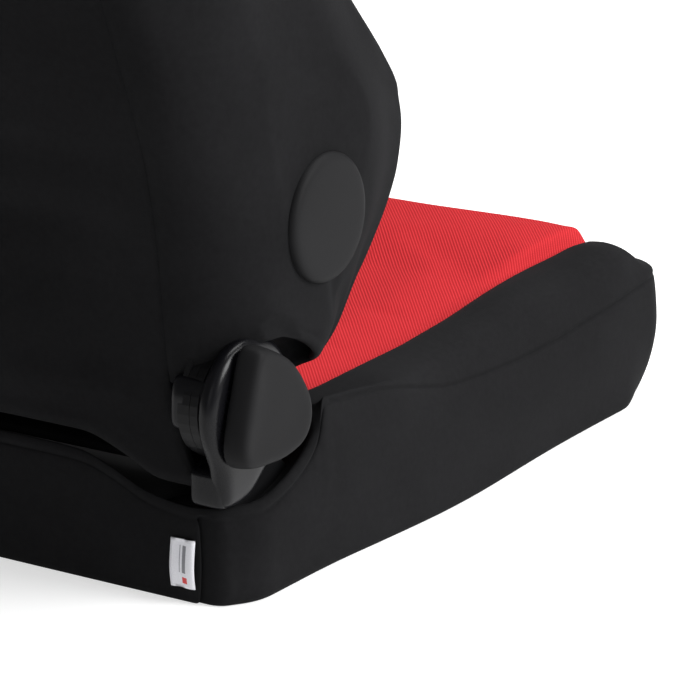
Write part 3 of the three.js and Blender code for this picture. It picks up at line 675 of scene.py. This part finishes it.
def bolster_section(z, depth):
    """Points of one bolster's plan section at heights z: the outer side, the nose, then the inner face.
    Gives x and the offset from the rear line. Both arguments have one value for each section point."""
    out = depth[:OUTER_N] * OUTER_G
    corner = SEAM_X + 55 * np.sqrt(np.maximum(0, 1 - (1 - np.minimum(out / 62, 1)) ** 2)) ** 1.15
    x_out = corner - 20 * smoothstep(OUTER_G, 0.62, 0.985) ** 1.3
    a = np.linspace(0.12, 0.92, NOSE_N) * math.pi
    x_nose = NOSE_X + NOSE_R * np.cos(a)
    o_nose = depth[NOSE] * 0.97 + np.minimum(9, 0.06 * depth[NOSE]) * np.sin(a)
    s = np.linspace(0.04, 1, INNER_N)
    nose_foot = NOSE_X - NOSE_R
    well = np.minimum(WELL, 0.9 * depth[INNER])
    o_in = depth[INNER] * 0.97 + (well - depth[INNER] * 0.97) * s
    x_in = nose_foot + (WELL_X + 0.5 - nose_foot) * s**0.8 + 4 * np.sin(math.pi * s)
    tuck = np.array([(WELL_X, -14), (WELL_X + 4, -40)])
    x = np.concatenate([x_out, x_nose, x_in, tuck[:, 0], [184, 190]])
    last = np.minimum(WELL, 0.9 * depth[-4:-2])
    o = np.concatenate([out, o_nose, o_in, last + tuck[:, 1] * np.minimum(1, last / WELL), [12, 5]])
    squeeze = (SHOULDER(z) - WELL_X) / (HALF_W - WELL_X)
    return WELL_X + (x - WELL_X) * squeeze, o


def back_bolster():
    """The left bolster's cover: its hem, its walls up to the shoulder, and its rounded top."""
    bottom = BACK_BOTTOM(SECTION_G)
    bottom[NOSE] = np.linspace(142, 131, NOSE_N)
    bottom[INNER] = 131 - 8.5 * smoothstep(np.linspace(0, 1, INNER_N), 0, 0.3)
    bottom[INNER.stop:] = [124, 134, 146, 150]
    rings = []

    def ring(z, shrink=0.0):
        depth = FRONT_LINE(z) - REAR_LINE(z)
        x, o = bolster_section(z, depth)
        points = np.stack([x, REAR_LINE(z) + o, z], axis=1)
        middle = points.mean(axis=0)
        points[:, :2] += (middle[:2] - points[:, :2]) * shrink
        return points

    # The hem: from inside the arch, down, round its rim and up the outside.
    hem = ((16, 11), (9, 10), (3, 8.5), (0, 6), (-0.8, 3.5), (0.6, 1.2), (3.5, 0.9), (5.5, 1.5), (HEM, 0.4))
    for lift, inset in hem:
        points = ring(bottom + lift)
        away = points[:, :2] - [206, 70]
        away /= np.linalg.norm(away, axis=1, keepdims=True)
        points[:, :2] -= away * inset
        rings.append(points)
    for v in np.linspace(0.02, 1, 92) ** 1.12:
        rings.append(ring(bottom + HEM + v * (BACK_TOP - HEM - bottom)))
    for lift, shrink in ((4, 0.04), (7.5, 0.12), (10, 0.26), (11, 0.5), (11.4, 0.8)):
        points = ring(np.full(SECTION_N, BACK_TOP), shrink)
        points[:, 2] += lift
        rings.append(points)
    rings = np.array(rings)
    verts = seat_points(rings[..., 0], rings[..., 1], rings[..., 2])
    obj = lofted("back_bolster_left_cover", verts)
    held = np.zeros(len(obj.data.vertices), bool)
    grid = held[: verts.shape[0] * verts.shape[1]].reshape(verts.shape[:2])
    grid[:12] = grid[-6:] = True
    grid[:, :2] = grid[:, INNER.stop - 2:] = True
    held[-2:] = True
    inflate(obj, 1.2, 0.005, held)
    subdivided(obj)
    points = np.array([v.co for v in obj.data.vertices]) / MM
    from_pivot = np.hypot(REAR_Y - points[:, 1] - PIVOT_U, points[:, 2] - PIVOT_Z)
    points[:, 0] = np.minimum(points[:, 0], KNOB_CLEAR_X + 7 * smoothstep(from_pivot, 53, 72))
    return placed(obj, points * MM)


left_bolster = back_bolster()
right_bolster = mirrored(left_bolster, "back_bolster_right_cover")
for piece, side in ((left_bolster, "left"), (right_bolster, "right")):
    finish_piece(piece, "backrest", SUEDE, ["back_bolster_" + side])


def closed_panel(name, x, z, outside, inside):
    """A closed pad from a grid of (x, z) and its outer and inner offsets from the rear line."""
    n, m = x.shape
    front = seat_points(x, REAR_LINE(z) + outside, z)
    rear = seat_points(x, REAR_LINE(z) + inside, z)
    verts = np.concatenate([front.reshape(-1, 3), rear.reshape(-1, 3)])
    return outward(mesh_object(name, verts, sandwich_faces(n, m)))


PANEL_TOP = 688.0


def rear_panel():
    """The backrest's rear cover, which flares out at its foot, with a rolled edge and a stitched hem."""
    half = curve([(78, 221.5), (86, 219), (100, 209), (122, 202), (144, 196.5), (152, SEAM_X), (560, SEAM_X),
                  (640, 186), (672, 168), (690, 150)])
    low = curve([(0, 104), (120, 103.5), (150, 95), (166, 88), (181, 81), (200, 80), (222, 81)])
    across = np.concatenate([[-1], -1 + np.array([0.006, 0.014, 0.026, 0.045]), np.linspace(-0.92, 0.92, 61),
                             1 - np.array([0.045, 0.026, 0.014, 0.006]), [1]])
    climb = np.concatenate([[0, 0.004, 0.009, 0.016], np.linspace(0.025, 0.985, 110), [0.993, 1]])
    z = np.zeros((len(climb), len(across)))
    x = np.repeat(across[None, :] * SEAM_X, len(climb), axis=0)
    for _ in range(4):
        z = low(np.abs(x)) + climb[:, None] * (PANEL_TOP - low(np.abs(x)))
        x = across[None, :] * half(z)
    from_side = half(z) - np.abs(x)
    from_hem = z - low(np.abs(x))
    roll = np.maximum(bump_line(from_side, 2.8) * 2.4, bump_line(from_hem, 4.0) * 4.5)
    roll = np.maximum(roll, bump_line(PANEL_TOP - z, 5) * 5)
    bulge = -3.0 * (1 - (x / 200) ** 2) * smoothstep(z, 110, 200)
    stitch = 0.5 * bump_line(from_hem - 14, 1.6)
    obj = closed_panel("back_rear_cover", x, z, bulge + roll + stitch, 8.5 + 0 * x)
    n, m = x.shape
    held = np.ones((2, n, m), bool)
    held[0, 5:-4, 5:-5] = False
    inflate(obj, 0.8, 0.004, held.ravel())
    return subdivided(obj)


finish_piece(rear_panel(), "backrest", SUEDE, ["back_rear_panel"])


def back_centre():
    """The red centre: a crowned pad with three cross channels and a swell at the small of the back."""
    half_width, low, high = 149.0, 160, 638
    offset, thick, crown, edge = 99.0, 6, 6.5, 3.5
    across = np.concatenate([[-1], -1 + np.array([0.01, 0.025, 0.05]), np.linspace(-0.92, 0.92, 45),
                             1 - np.array([0.05, 0.025, 0.01]), [1]])
    climb = np.concatenate([[0, 0.005, 0.012, 0.024], np.linspace(0.04, 0.96, 84), [0.976, 0.988, 0.995, 1]])
    x = across[None, :] * half_width + 0 * climb[:, None]
    z = low + climb[:, None] * (high - low) + 0 * x
    gap = np.minimum(half_width - np.abs(x), np.minimum(z - low, high - z))
    lumbar = 6 * bump_line(z - 300, 90)
    outside = offset + crown * smoothstep(gap, 0, 40) + lumbar - edge * bump_line(gap, 6)
    for level in (330, 430, 530):
        fade = smoothstep(half_width - np.abs(x), 0, 20)
        outside = outside - crown * 0.35 * bump_line(z - level, 4.5) * fade
    obj = closed_panel("back_centre", x, z, outside, offset - thick + 0 * x)
    n, m = x.shape
    held = np.ones((2, n, m), bool)
    held[0, 4:-4, 4:-4] = False
    inflate(obj, 1.5, 0.005, held.ravel())
    return subdivided(obj)


PAD_HALF = 166


def back_pad():
    """The black pad behind the red centre, which shows round its edge and closes the top."""
    profile = curve([(150, 90), (158, 95), (640, 94), (662, 86), (676, 70), (684, 48), (688, 24)])
    levels = np.concatenate([np.linspace(152, 164, 5), np.linspace(172, 640, 60), np.linspace(646, 687, 14)])
    rings = []
    for z in levels:
        front = float(profile(z))
        corner = min(14.0, front * 0.3)
        a = np.linspace(0, math.pi / 2, 7)
        turn = corner * np.stack([np.sin(a), np.cos(a)], axis=1)
        right = [PAD_HALF - corner, front - corner] + turn
        face = np.stack([np.linspace(-140, 140, 15), np.full(15, front)], axis=1)
        loop = np.concatenate([[[-PAD_HALF, 12]], right[::-1] * [-1, 1], face, right, [[PAD_HALF, 12]]])
        rings.append(seat_points(loop[:, 0], REAR_LINE(z) + loop[:, 1], z))
    return subdivided(lofted("back_pad", np.array(rings)))


def back_apron():
    """The cover's tail, which curls under the recline axis and shuts the gap above the cushion."""
    a = np.radians(np.linspace(24, -95, 44))
    inside = 46
    reach = 53.0 - 1.2 * np.abs(np.sin(3.2 * a))
    outer = np.stack([PIVOT_U + reach * np.cos(a), PIVOT_Z + reach * np.sin(a)], axis=1)
    inner = np.stack([PIVOT_U + inside * np.cos(a), PIVOT_Z + inside * np.sin(a)], axis=1)
    loop = np.concatenate([outer, inner[::-1]])
    rings = [seat_points(x, loop[:, 0], loop[:, 1]) for x in np.linspace(-205, 205, 40)]
    return subdivided(lofted("back_apron", np.array(rings)))


finish_piece(back_pad(), "backrest", SUEDE, ["back_foam"])
finish_piece(back_apron(), "backrest", SUEDE)
finish_piece(back_centre(), "backrest", BACK_MESH, ["back_insert"])


# ---- Headrest ----
HEADREST_SEAM_X = 106


def headrest():
    """The CAD pad's shape, evened out, swollen and drawn in along a seam near each end."""
    source = frame["nodes"]["headrest_pad"]
    obj = bpy.data.objects.new("headrest_cover", source.data.copy())
    bpy.context.scene.collection.objects.link(obj)
    remesh = obj.modifiers.new("remesh", "REMESH")
    remesh.mode = "VOXEL"
    remesh.voxel_size = 0.005
    calm = obj.modifiers.new("calm", "SMOOTH")
    calm.iterations = 12
    apply_modifiers(obj)
    inflate(obj, 4.0, 0.007)
    obj.modifiers.new("calm", "SMOOTH").iterations = 4
    subdivided(obj)
    points = np.array([v.co for v in obj.data.vertices])
    normals = np.array([v.normal for v in obj.data.vertices])
    seam_gap = np.abs(points[:, 0:1]) / MM - HEADREST_SEAM_X
    ridges = bump_line(seam_gap - 5, 3) + bump_line(seam_gap + 5, 3)
    sink = 1.9 * bump_line(seam_gap, 2.6) - 0.8 * ridges
    return placed(obj, points - normals * sink * MM)


finish_piece(headrest(), "headrest", SUEDE, ["headrest_pad"])


# ---- Hard pieces ----
def domed(name, outline, layers, centre):
    """A closed moulding whose outline, in (u, z), is drawn in by each layer's inset at its own x. Outer
    points move towards centre, so the outline should be star-shaped round it."""
    away = outline - centre
    reach = np.linalg.norm(away, axis=1, keepdims=True)
    rings = []
    for inset, x in layers:
        plan = centre + away * (1 - inset / reach)
        rings.append(seat_points(np.full(len(plan), x), plan[:, 0], plan[:, 1]))
    return lofted(name, np.array(rings))


def knob_outline():
    """A three-lobed rounded triangle round the pivot."""
    polar = np.array([(106, 50.5), (73, 39.5), (45, 37.3), (12, 40.5), (-10, 46.3), (-28, 48.5), (-46, 45.5),
                      (-75, 38.5), (-100, 37.0), (-122, 41.5), (-140, 47.0), (-156, 44.5), (-180, 37.0),
                      (-205, 35.5), (-230, 41.5), (-242, 47.5)])
    a, r = np.radians(polar[:, 0]), polar[:, 1]
    corners = np.stack([r * np.cos(a), r * np.sin(a)], axis=1)
    n = len(corners)
    thrice = np.concatenate([corners] * 3 + [corners[:1]])
    points = spline_rows(thrice, [10] * (3 * n))[10 * n : 20 * n]
    for _ in range(20):
        points = (np.roll(points, 1, axis=0) + 2 * points + np.roll(points, -1, axis=0)) / 4
    return points + [PIVOT_U, PIVOT_Z]


def knob():
    layers = [(30, 246.4), (4, 246.4), (1.2, 246.8), (0.2, 248.2), (0, 250.5), (0.6, 255), (1.6, 259.4),
              (2.6, 261.9), (4.4, 263.5), (7.5, 264.0), (12, 263.8), (20, 263.4), (30, 263.4)]
    return subdivided(domed("recline_knob_left_cap", knob_outline(), layers, np.array([PIVOT_U, PIVOT_Z])))


def trim_disc():
    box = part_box("side_disc_left")
    centre = np.array([REAR_Y - (box[0].y + box[1].y) / 2 / MM, (box[0].z + box[1].z) / 2 / MM])
    radius = (box[1].z - box[0].z) / 2 / MM
    a = np.linspace(0, 2 * math.pi, 96, endpoint=False)
    outline = centre + radius * np.stack([np.cos(a), np.sin(a)], axis=1)
    layers = [(38, 243.0), (4, 243.0), (1, 246), (0.2, 250.5), (0, 252.6), (0.5, 254.8), (1.8, 256.5),
              (4, 257.5), (7.5, 257.9), (14, 258.1), (26, 258.3), (38, 258.4)]
    return subdivided(domed("side_disc_left_cap", outline, layers, centre))


SHROUD_R = 48


def cover_outline():
    """The hinge shroud's side view: a disc over the pivot that runs down into a square foot."""
    a = np.radians(np.linspace(-38, 205, 60))
    disc = np.stack([PIVOT_U + SHROUD_R * np.cos(a), PIVOT_Z + SHROUD_R * np.sin(a)], axis=1)
    foot = np.array([(-12, 108), (-7.5, 98), (-5.5, 88), (-4, 76), (-1, 71.5), (5, 70.3), (16, 70.2),
                     (26, 72), (34, 78), (46, 87), (58, 97)])
    return np.concatenate([disc, foot])


def hinge_shroud():
    centre = np.array([26.0, 122.0])
    layers = [(14, 232), (5, 231.5), (2, 232), (1, 234), (0.3, 237), (0.2, 239), (1.6, 241.8), (4.6, 243.9),
              (9, 244.8), (16, 245), (26, 245)]
    return subdivided(domed("hinge_cover_left_shell", cover_outline(), layers, centre))


def hinge_foot():
    """The shroud's square foot, which reaches inboard under the slot."""
    outline = np.array([(-5.5, 94), (-5, 76), (-1.5, 71), (6, 70.2), (18, 70.3), (27, 73), (32, 80), (33, 90),
                        (30, 96), (16, 96.8), (0, 96.8)])
    points = spline_rows(np.concatenate([outline, outline[:1]]), [6] * len(outline))[:-1]
    layers = [(10, 215.4), (3, 215.4), (1, 216.2), (0.2, 218), (0, 224), (0.2, 236), (1.5, 240)]
    return domed("hinge_cover_left_foot", points, layers, np.array([14.0, 84.0]))


def joined(name, pieces):
    bpy.ops.object.select_all(action="DESELECT")
    for p in pieces:
        p.select_set(True)
    bpy.context.view_layer.objects.active = pieces[0]
    bpy.ops.object.join()
    pieces[0].name = name
    return pieces[0]


def hinge_cover():
    return joined("hinge_cover_left_shell", [hinge_shroud(), hinge_foot()])


def hard_pair(make, cad, body, material):
    """The piece for the left side and its mirror image, which stand for the CAD pair."""
    left = make()
    right = mirrored(left, left.name.replace("left", "right"))
    for piece, side in ((left, "left"), (right, "right")):
        finish_piece(piece, body, material, [f"{cad}_{side}"])


def link_cover():
    """A rounded cap over the backrest's plate, at the top of the shroud's open slot."""
    outline = np.array([(-7.5, 148), (-8.5, 138), (-7.5, 126), (-3, 122), (4, 123), (8, 130), (8, 148),
                        (4, 157), (-3, 158)])
    n, step = len(outline), 6
    wrapped = np.concatenate([outline[-2:], outline, outline[:2]])
    points = spline_rows(wrapped, [step] * (n + 3))[2 * step : (n + 2) * step]
    layers = [(7, 202), (2.4, 202.4), (0.6, 204), (0, 207), (0.2, 216), (0.8, 226), (2.4, 231.5), (5, 233.2),
              (7, 233.4)]
    return domed("hinge_link_cover_left_cap", points, layers, np.array([0.0, 140.0]))


hard_pair(link_cover, "hinge_link_cover", "backrest", GLOSS)
hard_pair(knob, "recline_knob", "recliner_drive", GRAINED)
hard_pair(trim_disc, "side_disc", "backrest", GRAINED)
hard_pair(hinge_cover, "hinge_cover", "seat_base", GLOSS)


def tab():
    """The sewn tab beside the corner's crease: a thin, slightly curled strip on the cushion's rear wall."""
    low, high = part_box("label_tab")
    centre = [(a + b) / 2 for a, b in zip(low, high)]
    thick, stand_off, aside, wave = 0.0007, 0.0014, 0.002, 0.0006
    x = np.linspace(low.x, high.x, 9) + aside
    rings = []
    for s in np.linspace(0, 1, 15):
        z = low.z + s * (high.z - low.z)
        curl = stand_off + 0.0012 * math.sin(math.pi * s) + 0.0004 * math.sin(5 * s)
        front = [(a, high.y + curl - wave * math.cos(9 * (a - low.x) / (high.x - low.x)), z) for a in x]
        rear = [(a, b - thick, c) for a, b, c in reversed(front)]
        rings.append(front + rear)
    obj = lofted("label_tab_cloth", np.array(rings))
    return finish_piece(obj, "seat_base", woven_label(centre), ["label_tab"])


tab()

# ---- Materials of the CAD nodes that still show ----
NODE_FINISH = {
    "black_steel": BLACK_STEEL, "zinc_steel": ZINC, "chrome_tube": CHROME, "spring_wire": WIRE,
    "grained_plastic": GRAINED, "gloss_plastic": GLOSS, "black_fabric": SUEDE, "foam": FOAM,
    "red_mesh": CUSHION_MESH, "label": SUEDE,
}
for part in frame["record"]["subparts"]:
    node = frame["nodes"][part["node"]]
    node.data.materials.clear()
    node.data.materials.append(NODE_FINISH[part["material_slot"]])
    node.data.shade_smooth()


# ---- Camera, light and floor ----
FLOOR_R, FLOOR_Z = 9, -0.0005
AMBIENT = 0.14


def studio():
    """The camera behind the seat's right side, three soft lights, a white surround and a pale floor."""
    scene = bpy.context.scene
    camera = bpy.data.objects.new("camera", bpy.data.cameras.new("camera"))
    scene.collection.objects.link(camera)
    camera.location = (-1.619, REAR_Y * MM + 1.970, 0.913)
    looking = Vector((0.521, -0.802, -0.292))
    camera.rotation_euler = looking.to_track_quat("-Z", "Y").to_euler()
    camera.data.lens = 199
    camera.data.sensor_width = 36
    camera.data.shift_x, camera.data.shift_y = -0.002, 0.0036
    scene.camera = camera

    def area(name, place, target, size, power):
        light = bpy.data.objects.new(name, bpy.data.lights.new(name, "AREA"))
        light.data.size = size
        light.data.energy = power
        light.location = place
        light.rotation_euler = (Vector(target) - light.location).to_track_quat("-Z", "Y").to_euler()
        scene.collection.objects.link(light)

    area("key", (-2.6, -0.5, 1.7), (0, 0, 0.2), 1.5, 120)
    area("top", (-0.3, -1.0, 2.8), (0, -0.1, 0.1), 1.8, 95)
    area("rear_fill", (-0.9, 2.6, 1.3), (0, 0, 0.3), 1.6, 5)
    scene.view_settings.view_transform = "Standard"

    world = bpy.data.worlds.new("studio")
    scene.world = world
    world.use_nodes = True
    nodes, links = world.node_tree.nodes, world.node_tree.links
    background = nodes["Background"]
    background.inputs["Color"].default_value = (1, 1, 1, 1)
    path = nodes.new("ShaderNodeLightPath")
    amount = nodes.new("ShaderNodeMapRange")
    amount.inputs["To Min"].default_value = AMBIENT
    amount.inputs["To Max"].default_value = 1.0
    links.new(path.outputs["Is Camera Ray"], amount.inputs["Value"])
    links.new(amount.outputs["Result"], background.inputs["Strength"])

    a = np.linspace(0, 2 * math.pi, 96, endpoint=False)
    disc = np.stack([FLOOR_R * np.cos(a), FLOOR_R * np.sin(a), np.full(len(a), FLOOR_Z)], axis=1)
    floor = mesh_object("floor", disc, [tuple(range(len(disc)))])
    tone = Nodes("floor")
    tone.colour(tone.ramp(tone.noise(3, 2), [(0.3, (0.56, 0.56, 0.56)), (0.7, (0.6, 0.6, 0.6))]))
    tone.set(Roughness=0.8, Emission_Color=(1, 1, 1, 1), Emission_Strength=0.62)
    floor.data.materials.append(tone.material)


studio()
